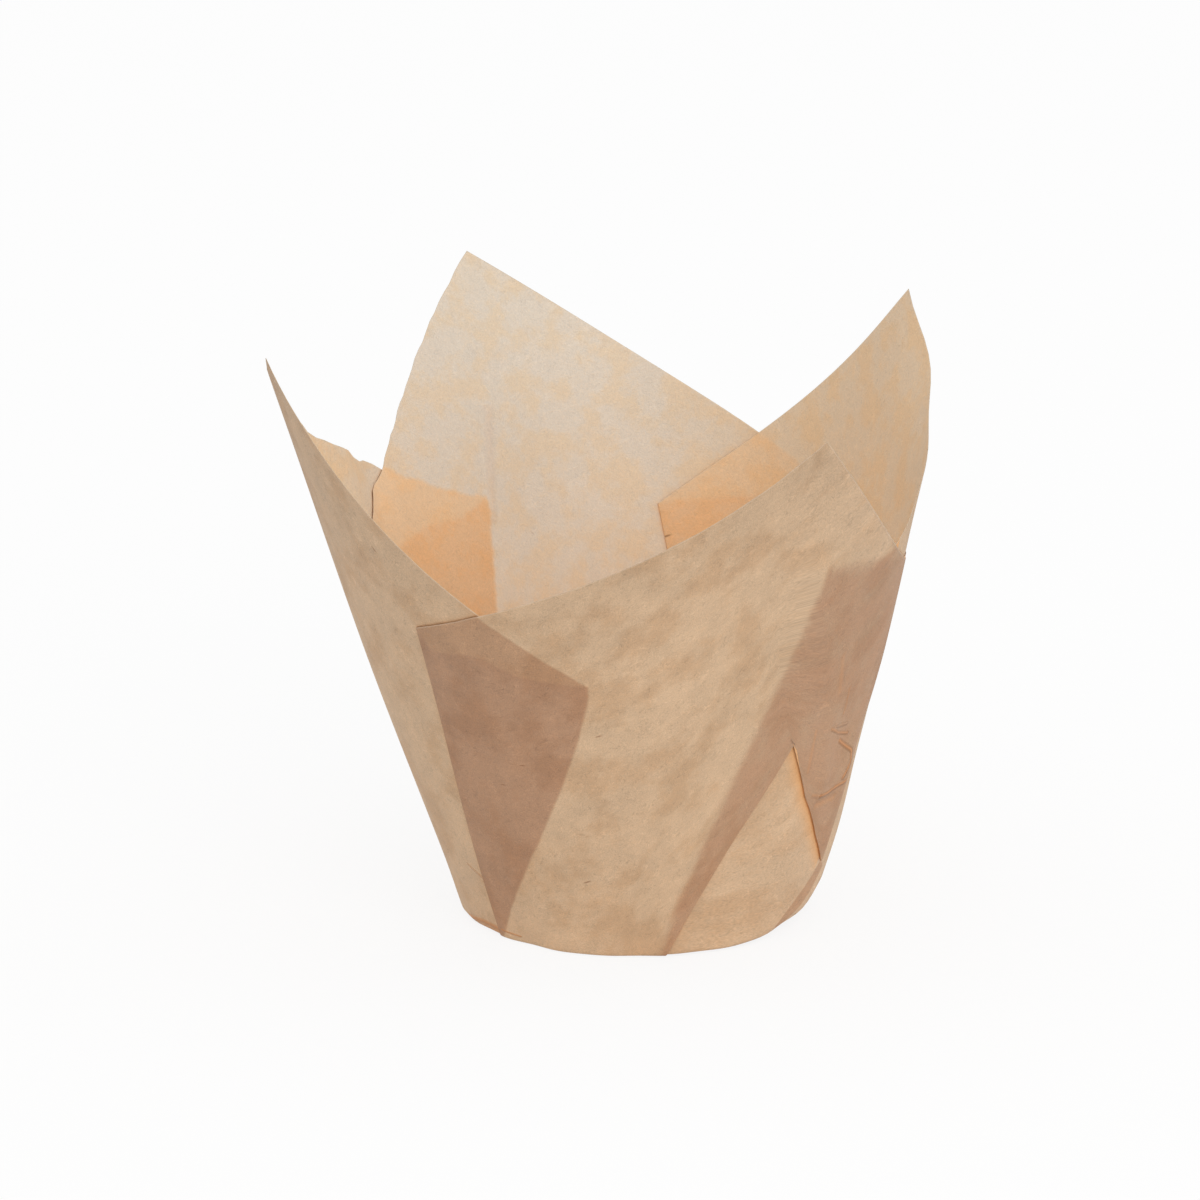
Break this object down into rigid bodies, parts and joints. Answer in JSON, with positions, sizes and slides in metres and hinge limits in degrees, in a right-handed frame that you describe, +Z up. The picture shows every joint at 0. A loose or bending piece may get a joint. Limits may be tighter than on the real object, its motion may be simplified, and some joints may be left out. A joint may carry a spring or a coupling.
{
  "type": "cupcake liner",
  "caption": "Tulip-style baking cup folded from one square sheet of brown parchment, with standing petals, knife pleats and a flat round base.",
  "frame": {"origin": "centre of the round base, on the surface that the cup stands on", "axes": "+Z up the cup; X and Y along the sides of the square sheet, so the petals point about halfway between them"},
  "size_m": [0.0871, 0.0983, 0.0853],
  "materials": {
    "parchment": "matte unbleached baking parchment"
  },
  "bodies": {
    "root": {"liner": "parchment"}
  },
  "joints": []
}
